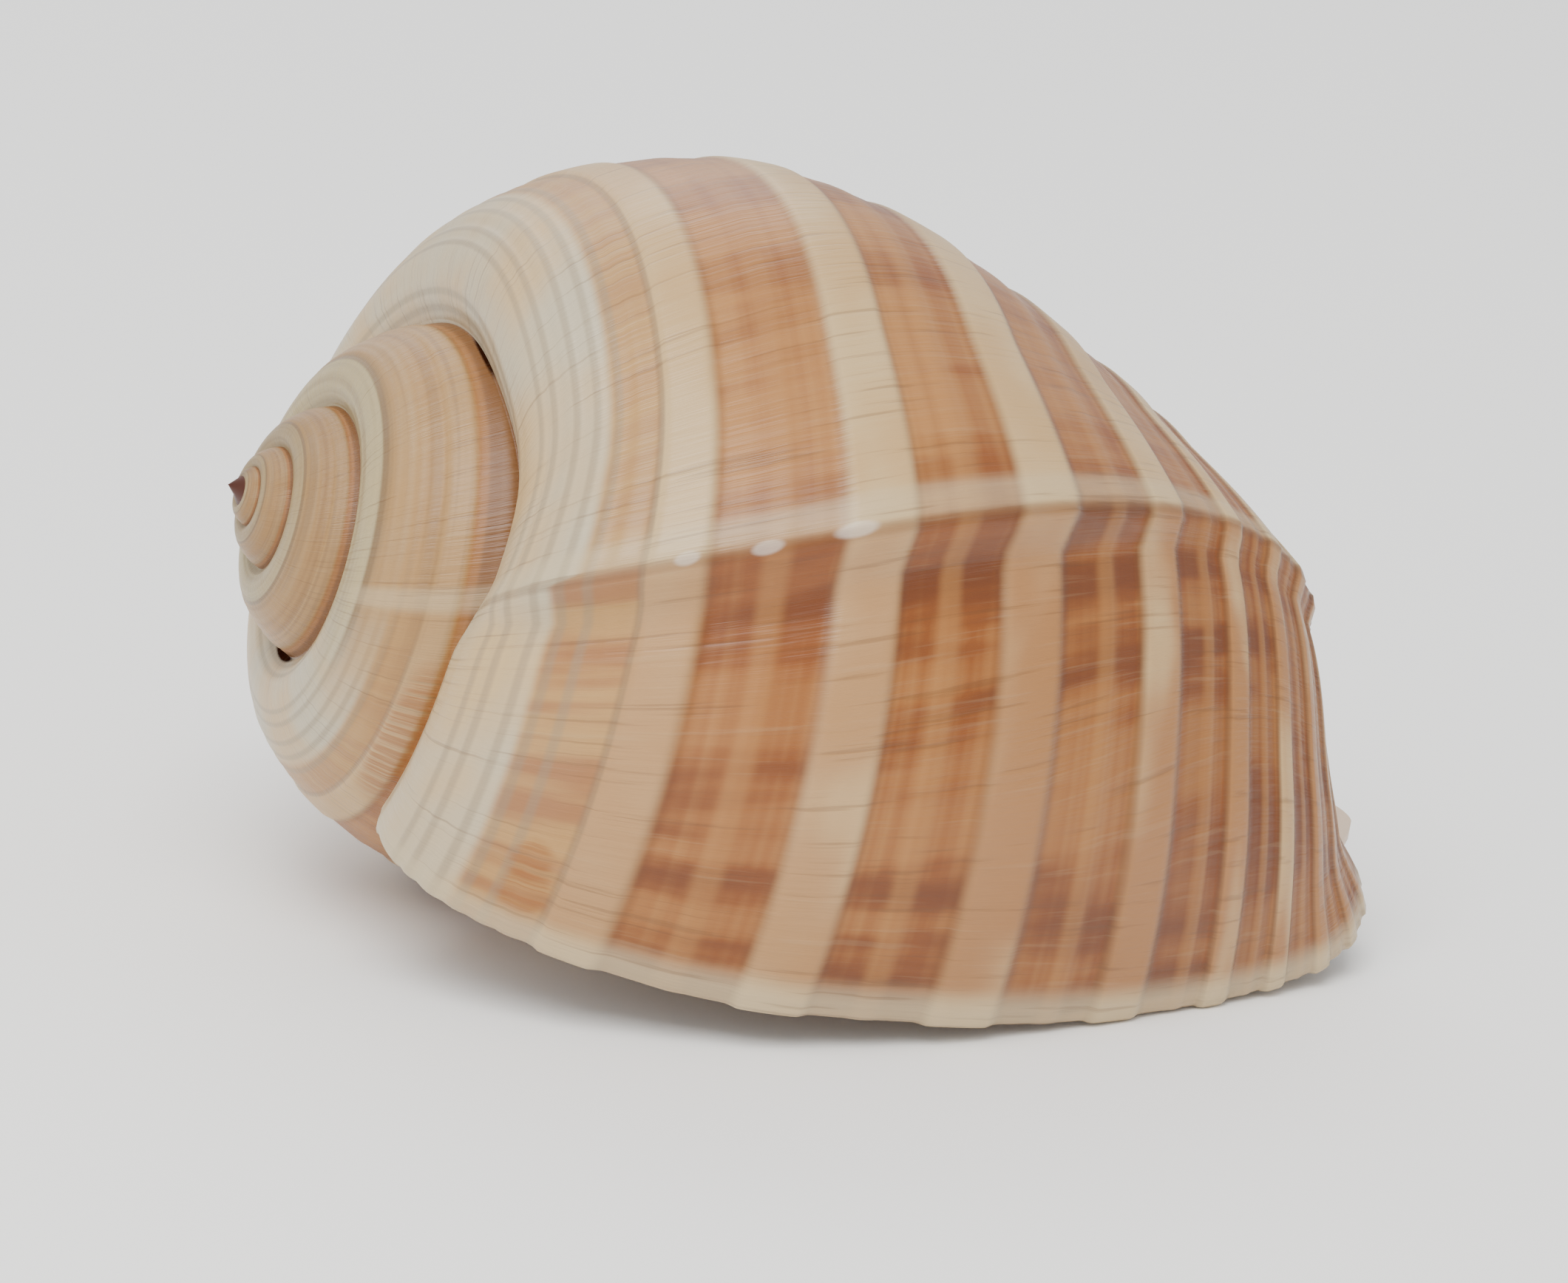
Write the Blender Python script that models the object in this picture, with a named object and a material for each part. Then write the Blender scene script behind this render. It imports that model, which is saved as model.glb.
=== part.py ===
# Tun shell lying on its mouth: one wall, coiled round a pillar, with raised flat cords.
# Every size below is in whorl units unless its name says otherwise. One whorl unit is
# UNIT metres, and the coiling axis runs from the apex (0) to the front end of the pillar.
import bmesh
import bpy
import numpy as np

# Driving dimensions
SHELL_LENGTH = 0.125  # metres, apex to front end, along the axis
AXIS_LENGTH = 2.10
UNIT = SHELL_LENGTH / AXIS_LENGTH
WALL = 0.040  # wall thickness at the lip, 2.1 mm
GROWTH = 2.06  # how many times larger each turn is than the one before it
SLOWING = 0.066  # the last half turn grows this much less
TURNS = 5
TURN_ROWS = 28
MOUTH_ROWS = 35  # how far back the open hollow goes, in rows

# Section of the wall in a half plane through the axis: (radius, distance from the apex)
SUTURE = np.array([0.464, 0.360])
SECTION = np.array([
    SUTURE, [0.512, 0.334], SUTURE * GROWTH, [1.008, 1.150], [0.958, 1.419],
    [0.821, 1.798], [0.659, 2.105], [0.431, 2.235], [0.150, 2.185],
])
PILLAR_SLOPE = SECTION[-1, 0] / SECTION[-1, 1]
PILLAR_TIP = 0.05  # how far the pillar stands out past the wall

# Cords: where along the section each dark band between two cords has its middle
BAND_MIDDLES = [0.256, 0.390, 0.535, 0.650, 0.715, 0.765, 0.805, 0.840]
BAND_HALF = 0.30  # half a band, as a share of the step from one band to the next
FIRST_CORD = (0.182, 0.212)
CORD_HEIGHT = 0.009

# Lip line: how many degrees it lags behind the half plane of the suture
LIP_AT = [0.0, 0.20, 0.45, 0.70, 0.86, 0.93, 0.97, 1.0]
LIP_LAG = [0.0, -17.0, -26.0, -30.0, -41.0, -42.0, -24.0, 0.0]
# An older lip stands as a low ridge across the whorl
RIDGE_TURN = -48.3
RIDGE_AT = [0.0, 0.25, 0.50, 0.75, 1.0]
RIDGE_LAG = [0.0, -22.0, -37.0, -49.0, -46.0]
RIDGE_HEIGHT = 0.080

LIP_DIRECTION = np.radians(32)
# How the shell lies: turned about its axis, then tipped, then turned on the table
ROLL, PITCH, HEADING = -71.0, 105.8, 0.0


def natural_spline(at, values, x):
    # Cubic pieces through the points, straight at both ends
    at, values = np.asarray(at, float), np.asarray(values, float)
    gap = np.diff(at)
    slope = np.diff(values, axis=0) / (gap if values.ndim == 1 else gap[:, None])
    system = np.eye(len(at))
    for i in range(1, len(at) - 1):
        system[i, i - 1:i + 2] = gap[i - 1], 2 * (gap[i - 1] + gap[i]), gap[i]
    right = np.zeros_like(values)
    right[1:-1] = 6 * np.diff(slope, axis=0)
    bend = np.linalg.solve(system, right)
    k = np.clip(np.searchsorted(at, x) - 1, 0, len(gap) - 1)
    a, b = at[k + 1] - x, x - at[k]
    if values.ndim > 1:
        a, b, gap = a[..., None], b[..., None], gap[:, None]
    g = gap[k]
    return (
        (bend[k] * a**3 + bend[k + 1] * b**3) / (6 * g)
        + (values[k] / g - bend[k] * g / 6) * a
        + (values[k + 1] / g - bend[k + 1] * g / 6) * b
    )


def smooth_step(low, high, x):
    t = np.clip((x - low) / (high - low), 0, 1)
    return t * t * (3 - 2 * t)


STEPS = np.hypot(*np.diff(SECTION, axis=0).T)
SECTION_AT = np.r_[0, np.cumsum(STEPS)] / STEPS.sum()
SUTURE_AT = SECTION_AT[2]  # where the next whorl sits down on this one


def section(u):
    # (radius, height) of the wall at u, from the suture (0) to the pillar (1)
    return natural_spline(SECTION_AT, SECTION, np.asarray(u, float))


def section_normal(u):
    ahead, behind = section(np.minimum(u + 0.01, 1)), section(np.maximum(u - 0.01, 0))
    along = ahead - behind
    out = np.stack([along[..., 1], -along[..., 0]], axis=-1)
    return out / np.linalg.norm(out, axis=-1, keepdims=True)


def whorl_size(turn):
    # Size of the whorl at this angle, against the size it would have at the lip
    return GROWTH ** (turn / (2 * np.pi)) * (1 - SLOWING * smooth_step(-np.pi, -np.pi / 2, turn))


def suture_shift(turn):
    # The suture wanders a little round the last turn, and steps down at the old lip
    degrees = np.degrees(turn)
    rise = 0.024 * np.exp(-(((degrees + 76) / 22) ** 2))
    return rise - 0.021 * smooth_step(-56, -38, degrees)


def lip_lag(u):
    return np.radians(natural_spline(LIP_AT, LIP_LAG, np.asarray(u, float)))


def ridge(turn, u):
    # Height of the old lip: it swells slowly towards its edge and drops behind it
    edge = RIDGE_TURN + natural_spline(RIDGE_AT, RIDGE_LAG, np.asarray(u, float))
    past = np.degrees(turn) - edge
    tent = np.where(past < 0, np.clip(1 + past / 16, 0, 1) ** 1.5, np.clip(1 - past / 5, 0, 1))
    return RIDGE_HEIGHT * tent * smooth_step(0.02, 0.15, u) * (1 - smooth_step(0.86, 0.95, u))


def band_edges():
    # Start and end along the section of each sunken band
    steps = np.gradient(np.array(BAND_MIDDLES))
    return [(m - BAND_HALF * s, m + BAND_HALF * s) for m, s in zip(BAND_MIDDLES, steps)]


def cord_columns():
    # Positions along the section, and whether each stands on a cord (1) or between cords (0)
    at = [0.0, 0.012, 0.035, 0.065, 0.10, 0.14, 0.175]
    height = [0.0, 0.0, 0.0, 0.0, 0.0, 0.0, 0.0]
    rims = [FIRST_CORD] + list(zip([e[1] for e in band_edges()], [e[0] for e in band_edges()][1:]))
    for low, high in rims:
        ramp = min(0.008, 0.3 * (high - low))
        at += [low - ramp / 2, low + ramp / 2, high - ramp / 2, high + ramp / 2]
        height += [0.0, 1.0, 1.0, 0.0]
    last = band_edges()[-1][1]
    tail = [last + 0.02, 0.91, 0.945, 0.975, 1.0]
    return np.array(at + tail), np.array(height + [0.6, 0.6, 0.3, 0.0, 0.0])


ALL_AT, ALL_HEIGHT = cord_columns()
COVERED = ALL_AT < SUTURE_AT - 0.005
SUTURE_COLUMN = int(COVERED.sum())  # the next whorl's suture lies along this column
GAP_COLUMN = SUTURE_COLUMN + 1  # and its inner side starts along this one
OPEN_AT = ALL_AT[ALL_AT > SUTURE_AT + 0.045]
COLUMNS = SUTURE_COLUMN + 2 + len(OPEN_AT)
CORD = np.r_[ALL_HEIGHT[COVERED], 0, 0, ALL_HEIGHT[ALL_AT > SUTURE_AT + 0.045]]
ROWS = TURNS * TURN_ROWS


def row_turn(row):
    return -2 * np.pi * (ROWS - row) / TURN_ROWS


def columns_at(row):
    # Section positions of one row of points
    seam = SUTURE_AT + suture_shift(row_turn(row) + 2 * np.pi)
    inner = ALL_AT[COVERED] * seam / SUTURE_AT
    return np.r_[inner, seam, seam + 0.75 * WALL, OPEN_AT]


def in_space(turn, flat):
    angle = turn + LIP_DIRECTION
    return np.stack([flat[..., 0] * np.cos(angle), flat[..., 0] * np.sin(angle), flat[..., 1]], -1)


def wall_flat(row, u, lift):
    # Outer side of the wall in its half plane: section, scaled, with cords and old lip on it
    turn = row_turn(row) + lip_lag(u) * smooth_step(-np.pi, 0, row_turn(row))
    raised = lift + ridge(turn, u)
    size = whorl_size(turn)[:, None]
    return turn, size, section(u) + section_normal(u) * raised[:, None]


def outer_rows():
    # All rows of outer points. Each row starts on the suture column of the row one turn back.
    rows = []
    for row in range(ROWS + 1):
        u = columns_at(row)
        lift = CORD_HEIGHT * CORD * smooth_step(0, 4 * TURN_ROWS, row)
        turn, size, flat = wall_flat(row, u, lift)
        start_chord = section(0.0) + (section(SUTURE_AT) - section(0.0)) * (u / SUTURE_AT)[:, None]
        flat = start_chord + (flat - start_chord) * smooth_step(0, TURN_ROWS, row)
        points = in_space(turn, size * flat)
        if row >= TURN_ROWS:
            hold = 1 - smooth_step(0, SUTURE_AT, u)
            points += (rows[row - TURN_ROWS][SUTURE_COLUMN] - points[0]) * hold[:, None]
        rows.append(points)
    return rows


def pillar(turn, height):
    # A slim cone about the axis, twisted by two soft folds
    fold = 1 - 0.07 * (1 - np.cos(2 * (turn + 2.2 * height))) * smooth_step(1.2, 1.6, height)
    radius = PILLAR_SLOPE * height * fold
    return in_space(turn, np.stack([radius, height], -1))


# The open hollow behind the mouth
INNER_AT = np.r_[0.045, np.linspace(0.085, 0.90, 24), 0.945]
PILLAR_FOOT = 1.35 * WALL  # the inner side meets the pillar this far before the outer side
PILLAR_STEPS = np.array([0.0, 0.35, 0.70])
HOLLOW_END = np.array([0.72, 1.25])


def inner_row(row, first):
    # Inner side of the wall, one wall thickness under the outer side, without its cords
    lift = np.full(len(INNER_AT), -WALL)
    turn, size, flat = wall_flat(row, INNER_AT, lift)
    start = in_space(row_turn(row), whorl_size(row_turn(row)) * section(0.0))
    hold = 1 - smooth_step(0, SUTURE_AT, INNER_AT)
    return in_space(turn, size * flat) + (first - start) * hold[:, None]


def pillar_heights(row):
    # Heights on the pillar between the foot of the last turn's wall and of this one's
    low = whorl_size(row_turn(row - TURN_ROWS)) * SECTION[-1, 1]
    high = whorl_size(row_turn(row)) * (SECTION[-1, 1] - PILLAR_FOOT)
    return low + (high - low) * PILLAR_STEPS[1:], high


class Body:
    # Points and faces of one closed body
    def __init__(self):
        self.points = []
        self.faces = []

    def add(self, points):
        start = len(self.points)
        self.points += [tuple(p) for p in np.atleast_2d(points)]
        return list(range(start, len(self.points)))

    def shares(self, run):
        # How far along its run each point lies, from 0 to 1
        points = np.array([self.points[i] for i in run])
        lengths = np.linalg.norm(np.diff(points, axis=0), axis=1)
        return np.r_[0, np.cumsum(lengths)] / max(lengths.sum(), 1e-9)

    def bridge(self, a, b):
        # Faces between two runs of points: quads where they match, else by how far along each is
        if len(a) == len(b):
            along_a = along_b = np.arange(len(a))
        else:
            along_a, along_b = self.shares(a), self.shares(b)
        i = j = 0
        while i < len(a) - 1 or j < len(b) - 1:
            next_a = along_a[i + 1] if i < len(a) - 1 else np.inf
            next_b = along_b[j + 1] if j < len(b) - 1 else np.inf
            step_a = next_a <= next_b + 1e-6
            step_b = next_b <= next_a + 1e-6
            face = [a[i]] + ([a[i + 1]] if step_a else []) + ([b[j + 1]] if step_b else []) + [b[j]]
            face = [v for n, v in enumerate(face) if v not in face[:n]]
            if len(face) > 2:
                self.faces.append(face)
            i, j = i + step_a, j + step_b

    def fan(self, loop, centre):
        for a, b in zip(loop, loop[1:] + loop[:1]):
            self.faces.append([a, b, centre])


def outside(body):
    # The wall's outer side, turn after turn, and a small cap on the apex
    rows = []
    for row, points in enumerate(outer_rows()):
        inside_rows = row < ROWS - TURN_ROWS
        end = SUTURE_COLUMN + 1 if inside_rows else COLUMNS
        if not inside_rows:
            turn = row_turn(row)
            points[-1] = pillar(turn, whorl_size(turn) * SECTION[-1, 1])
        if row < TURN_ROWS:
            rows.append(body.add(points[:end]))
        else:
            rows.append([rows[row - TURN_ROWS][SUTURE_COLUMN]] + body.add(points[1:end]))
    for row in range(ROWS):
        shared = min(len(rows[row]), len(rows[row + 1]))
        body.bridge(rows[row][:shared], rows[row + 1][:shared])
    start = [rows[row][0] for row in range(TURN_ROWS)] + rows[0][SUTURE_COLUMN:0:-1]
    body.fan(start, body.add([0, 0, -0.004])[0])
    return rows


def hollow(body, rows):
    # The inner side, loop after loop from the lip inwards: wall, pillar, then the turn before
    points = outer_rows()
    loops = []
    for row in range(ROWS, ROWS - MOUTH_ROWS - 1, -1):
        turn, before = row_turn(row), row - TURN_ROWS
        heights, high = pillar_heights(row)
        wall = body.add(inner_row(row, points[row][0]))
        foot = body.add(pillar(turn, high))
        column = body.add(pillar(np.full(len(heights), turn), heights[::-1]))
        if row == ROWS:
            back = rows[before][:GAP_COLUMN - 1:-1]
        else:
            picked = points[before][GAP_COLUMN:-1:2]
            low = pillar(turn, whorl_size(row_turn(before)) * SECTION[-1, 1])
            back = body.add(np.vstack([low, picked[::-1]]))
        loops.append((wall, foot + column + back[:1], back))
    for outer, inner in zip(loops, loops[1:]):
        body.bridge([outer[2][-1]] + outer[0] + outer[1][:1], [inner[2][-1]] + inner[0] + inner[1][:1])
        body.bridge(outer[1], inner[1])
        body.bridge(outer[2], inner[2])
    wall, column, back = loops[-1]
    turn = row_turn(ROWS - MOUTH_ROWS)
    centre = body.add(in_space(turn, whorl_size(turn) * HOLLOW_END))[0]
    body.fan(wall + column + back[1:], centre)
    return loops[0]


def lip(body, rows, mouth):
    # The wall's edge, from its outer side to its inner side
    wall, column, back = mouth
    body.bridge(rows[ROWS], [back[-1]] + wall + column[:1])


def pillar_end(body, rows, mouth):
    # The pillar from the wall's last turn to its rounded front end
    first = rows[ROWS][-1:] + mouth[1]
    heights = np.array([body.points[i][2] for i in first])
    share = (heights - heights[-1]) / (heights[0] - heights[-1])
    ring, before = [first[0]], first
    for row in range(ROWS - TURN_ROWS + 1, ROWS):
        low = body.points[rows[row][-1]][2]
        levels = low + share[:-1] * (heights[0] - low)
        line = body.add(pillar(np.full(len(levels), row_turn(row)), levels)) + [rows[row][-1]]
        body.bridge(before, line)
        ring.append(line[0])
        before = line
    body.bridge(before, [first[0]])
    base = np.array([body.points[i] for i in ring])
    for out, rise in ((0.88, 0.5), (0.55, 0.9)):
        next_ring = body.add(base * [out, out, 1] + [0, 0, rise * PILLAR_TIP])
        body.bridge(ring + ring[:1], next_ring + next_ring[:1])
        ring = next_ring
    body.fan(ring, body.add([0, 0, base[0, 2] + PILLAR_TIP])[0])


def turn_matrix(axis, degrees):
    c, s = np.cos(np.radians(degrees)), np.sin(np.radians(degrees))
    turned = {"x": [[1, 0, 0], [0, c, -s], [0, s, c]],
              "y": [[c, 0, s], [0, 1, 0], [-s, 0, c]],
              "z": [[c, -s, 0], [s, c, 0], [0, 0, 1]]}
    return np.array(turned[axis])


def lay_down(points):
    # Turns the shell to how it lies, stands it on the table and centres it over the origin
    turned = points @ turn_matrix("z", ROLL).T @ turn_matrix("y", PITCH).T @ turn_matrix("z", HEADING).T
    low, high = turned.min(axis=0), turned.max(axis=0)
    return (turned - [(low[0] + high[0]) / 2, (low[1] + high[1]) / 2, low[2]]) * UNIT


def shell_material():
    material = bpy.data.materials.new("tun_shell_wall")
    material.use_nodes = True
    finish = material.node_tree.nodes["Principled BSDF"]
    finish.inputs["Base Color"].default_value = (0.62, 0.48, 0.35, 1)
    finish.inputs["Roughness"].default_value = 0.38
    return material


def make_shell():
    body = Body()
    rows = outside(body)
    mouth = hollow(body, rows)
    lip(body, rows, mouth)
    pillar_end(body, rows, mouth)
    mesh = bpy.data.meshes.new("tun_shell")
    mesh.from_pydata(lay_down(np.array(body.points)).tolist(), [], body.faces)
    shape = bmesh.new()
    shape.from_mesh(mesh)
    loose = [v for v in shape.verts if not v.link_faces]
    bmesh.ops.delete(shape, geom=loose, context="VERTS")
    bmesh.ops.recalc_face_normals(shape, faces=shape.faces)
    bmesh.ops.triangulate(shape, faces=shape.faces)
    shape.to_mesh(mesh)
    shape.free()
    mesh.shade_smooth()
    mesh.materials.append(shell_material())
    shell = bpy.data.objects.new("tun_shell", mesh)
    bpy.context.scene.collection.objects.link(shell)
    return shell


for old in list(bpy.data.objects):
    bpy.data.objects.remove(old)
shell = make_shell()
print("tun_shell:", len(shell.data.polygons), "triangles,", len(shell.data.vertices), "points")
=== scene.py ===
import math

import bpy
import numpy as np
from mathutils import Matrix, Vector


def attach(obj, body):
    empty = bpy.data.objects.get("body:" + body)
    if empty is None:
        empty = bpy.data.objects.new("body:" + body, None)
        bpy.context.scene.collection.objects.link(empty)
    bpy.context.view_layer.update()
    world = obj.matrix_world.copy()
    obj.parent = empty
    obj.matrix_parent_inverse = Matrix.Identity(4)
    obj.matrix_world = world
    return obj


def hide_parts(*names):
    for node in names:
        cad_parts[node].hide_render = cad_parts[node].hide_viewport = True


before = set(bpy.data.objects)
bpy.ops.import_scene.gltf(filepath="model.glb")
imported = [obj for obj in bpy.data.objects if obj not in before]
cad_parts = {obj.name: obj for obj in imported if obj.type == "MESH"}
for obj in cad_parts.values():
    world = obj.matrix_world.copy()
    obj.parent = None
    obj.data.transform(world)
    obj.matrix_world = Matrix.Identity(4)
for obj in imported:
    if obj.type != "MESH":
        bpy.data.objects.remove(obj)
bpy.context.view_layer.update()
pi = math.pi

# Lengths of the shell are in whorl units. The coiling axis runs from the apex (0) to the front end.
# Angles are in degrees, and places along the section (u) go from the suture (0) to the pillar (1).
shell = {
    "unit": 0.125 / 2.10,  # metres in one whorl unit
    "growth": 2.06,  # each turn is this much larger than the one before
    "slowing": 0.066,  # the last half turn grows this much less
    "turns": 5,
    "turnRows": 144,  # rows of points in one turn
    "coveredColumns": 60,  # from the suture to where the next whorl sits
    "openColumns": 200,  # from there to the pillar
    "wall": 0.040,  # thickness, scaled by the size of the whorl
    "suture": (0.464, 0.360),  # (radius, height) where the wall starts
    "shoulder": (0.512, 0.334),  # and two more stretches of points along the section
    "flank": [(1.008, 1.150), (0.958, 1.419), (0.821, 1.798), (0.659, 2.105), (0.431, 2.235),
              (0.150, 2.185)],
    "lipDirection": 32.0,  # where about the axis the mouth's edge lies
    "lipAt": [0.0, 0.20, 0.45, 0.70, 0.86, 0.93, 0.97, 1.0],
    "lipLag": [0.0, -17.0, -26.0, -30.0, -41.0, -42.0, -24.0, 0.0],  # how far the lip hangs back
    "ridgeTurn": -48.3,  # an older lip, as degrees back from the mouth
    "ridgeAt": [0.0, 0.25, 0.50, 0.75, 1.0],
    "ridgeLag": [0.0, -22.0, -37.0, -49.0, -46.0],
    "ridgeHeight": 0.080,
    "ridgeFrom": (0.02, 0.15),  # it starts between these places along the section
    "ridgeTo": (0.82, 0.95),
    "ridgeRise": 26,  # degrees over which the wall swells up to the ridge
    "ridgeFall": (6, 36),  # degrees over which it drops away: near the suture, near the front
    "frontFrom": (0.40, 0.72),  # from here on the newer wall keeps some of the ridge's height
    "frontShare": 0.6,
    "wanderUp": (0.024, -76, 22),  # the suture's swing across the last whorl: size, middle, width
    "wanderDown": (0.021, -56, -38),  # and its step back: size, start, end
    "flareHeight": 0.045,  # how far the lip turns out at its front end
    "flareFrom": (0.72, 0.85),
    "flareTo": (0.86, 0.94),
    "flareLength": 0.030,  # in turns back from the mouth
    "bandAt": [0.256, 0.390, 0.535, 0.650, 0.715, 0.765, 0.805, 0.840, 0.868, 0.892, 0.912, 0.930,
               0.947, 0.964],
    "firstCordAt": 0.182,
    "cordHeight": 0.009,
    "shoulderThreads": (-0.66, -0.57, -0.48, 0.0, 0.11, 0.21, 0.31),  # band places
    "shoulderGrooves": (-0.18, -0.08),
    "seamGap": 0.75,  # wall thicknesses between the last covered column and the first open one
    "hollowRows": 176,  # rows that the hollow reaches in from the mouth
    "hollowStep": 4,
    "hollowSides": (0.045, 0.945),  # the part of the section that the hollow follows
    "innerRibs": 0.4,  # share of the cords' height on the inner side
    "lipSteps": 6,
    "lipBulge": 0.45,  # how far the lip's edge rounds forward
    "lipEnds": 8,  # columns over which the rounding fades out at the lip's two ends
    "pillarSteps": 8,
    "pillarFoot": 1.35,  # wall thicknesses between the outer and the inner side at the pillar
    "pillarFolds": (0.07, 2.2),  # depth of the twisting folds, and their twist
    "foldsFrom": (1.2, 1.6),  # heights between which the folds come in
    "pillarTip": 0.05,
    "pillarTaper": 0.86,  # the free end is this much slimmer away from the lip
    "pillarDrop": 0.9,  # and slants down by this share of its height
    "pillarEase": (40, 30),  # degrees over which both come in and go out
    "pillarRounding": [(0.97, 0.25), (0.86, 0.55), (0.62, 0.82), (0.33, 0.95)],  # (radius, rise) shares
    "hollowEnd": (0.72, 1.25),  # (radius, height) of the point that closes the hollow
    "apexPoint": (0, 0, -0.004),
    "lie": (-71.0, 105.8, 0.0),  # turned about its axis, tipped over, turned on the table
}

columnCount = shell["coveredColumns"] + shell["openColumns"]
lastRow = shell["turns"] * shell["turnRows"]
noBand = 20.0  # a band place past the last band, for surfaces that carry none
onShoulder = 0.3  # and one on the shoulder


def smoothStep(low, high, x):
    # 0 below low, 1 above high, 3t^2 - 2t^3 between
    t = np.clip((x - low) / (high - low), 0, 1)
    return t * t * (3 - 2 * t)


def naturalSpline(at, values, x):
    # cubic pieces through the points; their bends solve one linear system, with none at the two ends
    at, values = np.asarray(at, float), np.asarray(values, float)
    flat = values.reshape(len(at), -1)
    gap = np.diff(at)
    system = np.eye(len(at))
    for i in range(1, len(at) - 1):
        system[i, i - 1:i + 2] = gap[i - 1], 2 * (gap[i - 1] + gap[i]), gap[i]
    right = np.zeros_like(flat)
    right[1:-1] = 6 * np.diff(np.diff(flat, axis=0) / gap[:, None], axis=0)
    bend = np.linalg.solve(system, right)
    x = np.asarray(x, float)
    k = np.clip(np.searchsorted(at, x) - 1, 0, len(gap) - 1)
    a, b, g = (at[k + 1] - x)[..., None], (x - at[k])[..., None], gap[k][..., None]
    out = (bend[k] * a**3 + bend[k + 1] * b**3) / (6 * g)
    out = out + (flat[k] / g - bend[k] * g / 6) * a + (flat[k + 1] / g - bend[k + 1] * g / 6) * b
    return out if values.ndim > 1 else out[..., 0]


suture = np.array(shell["suture"])
sectionPoints = np.array([suture, shell["shoulder"], suture * shell["growth"]] + shell["flank"])
sectionSteps = np.hypot(*np.diff(sectionPoints, axis=0).T)
sectionAt = np.r_[0, np.cumsum(sectionSteps)] / sectionSteps.sum()
sutureAt = sectionAt[2]
pillarSlope = sectionPoints[-1, 0] / sectionPoints[-1, 1]


def section(u):
    # (radius, height) of the wall in a half plane through the axis, u from suture to pillar
    return naturalSpline(sectionAt, sectionPoints, u)


def sectionNormal(u):
    # the section's direction between two close points, turned a quarter outwards, of length 1
    along = section(np.minimum(u + 0.008, 1)) - section(np.maximum(u - 0.008, 0))
    out = np.stack([along[..., 1], -along[..., 0]], axis=-1)
    return out / np.linalg.norm(out, axis=-1, keepdims=True)


def whorlSize(turn):
    # growth to the power of the turns, with the last half turn a little smaller
    return shell["growth"] ** (turn / (2 * pi)) * (1 - shell["slowing"] * smoothStep(-pi, -pi / 2, turn))


def sutureShift(turn):
    # how far the suture wanders across the whorl before it: a bell-shaped swing, less a smooth step
    degrees = np.degrees(turn)
    size, middle, width = shell["wanderUp"]
    stepBack, start, end = shell["wanderDown"]
    return size * np.exp(-(((degrees - middle) / width) ** 2)) - stepBack * smoothStep(start, end, degrees)


def rowTurn(row):
    # angle of a row about the axis: 0 at the mouth, a full circle less for each turn before it
    return -2 * pi * (lastRow - row) / shell["turnRows"]


def lipLag(u):
    # how far the mouth's edge hangs back at u, a smooth curve through the settings
    return np.radians(naturalSpline(shell["lipAt"], shell["lipLag"], u))


def ridgeLag(u):
    # the same for the older lip
    return np.radians(naturalSpline(shell["ridgeAt"], shell["ridgeLag"], u))


def bandPhase(u):
    # counts the dark bands: a whole number is the middle of a band, and below 0.4 is the shoulder
    count = len(shell["bandAt"])
    at = [shell["firstCordAt"]] + shell["bandAt"] + [1.0]
    phase = [0.40] + list(range(1, count + 1)) + [count + 2.0]
    return np.where(u < at[0], 0.40 - 6 * (at[0] - u), np.interp(u, at, phase))


def growthPlace(turn, rowAngle, u):
    # turns back from the mouth along the growth lines: the angle less the lag, over a full circle,
    # where the lag goes from the older lip's to the mouth's
    nearLip = smoothStep(np.radians(shell["ridgeTurn"]), 0, rowAngle)
    lag = ridgeLag(u) + (lipLag(u) - ridgeLag(u)) * nearLip
    return (turn - lag) / (2 * pi)


def bump(x, middle, half):
    # a rounded thread, 1 - t^2: 1 in the middle, 0 beyond half
    return np.clip(1 - ((x - middle) / half) ** 2, 0, 1)


def cordRelief(phase):
    # flat cords between the bands, a thread along each band, fine threads on the shoulder
    away = np.abs(phase - np.round(phase))
    cord = smoothStep(0.27, 0.36, away) * smoothStep(0.38, 0.44, phase)
    thread = 0.25 * bump(away, 0, 0.09) * (phase > 0.7) * (phase < 8.5)
    shoulder = sum(0.30 * bump(phase, middle, 0.045) for middle in shell["shoulderThreads"])
    groove = sum(0.35 * bump(phase, middle, 0.03) for middle in shell["shoulderGrooves"])
    return (cord + thread + shoulder - groove) * (1 - 0.9 * smoothStep(5, 13, phase))


def ridgeHeight(turn, u):
    # swells slowly up to its edge and drops away after it: height times the tent over the angle, times
    # a rise and a fall along the section
    past = np.degrees(turn - ridgeLag(u)) - shell["ridgeTurn"]
    kept = shell["frontShare"] * smoothStep(*shell["frontFrom"], u)
    quick, slow = [1 - smoothStep(0, fall, past) for fall in shell["ridgeFall"]]
    swell = np.clip(1 + past / shell["ridgeRise"], 0, 1) ** 1.4
    tent = np.where(past < 0, swell, (1 - kept) * quick + kept * slow)
    along = smoothStep(*shell["ridgeFrom"], u) * (1 - smoothStep(*shell["ridgeTo"], u))
    return shell["ridgeHeight"] * tent * along


def lipFlare(turn, rowAngle, u):
    # the front end of the lip turns outwards: its height times how near the lip and the front end
    nearLip = smoothStep(-shell["flareLength"], 0.0, growthPlace(turn, rowAngle, u))
    along = smoothStep(*shell["flareFrom"], u) * (1 - smoothStep(*shell["flareTo"], u))
    return shell["flareHeight"] * nearLip * along


def inSpace(turn, flat):
    # (radius, height) turned about the axis: radius times cosine and sine of the angle, height
    angle = turn + np.radians(shell["lipDirection"])
    radius = flat[..., 0]
    return np.stack([radius * np.cos(angle), radius * np.sin(angle), flat[..., 1] + 0 * angle], axis=-1)


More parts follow.
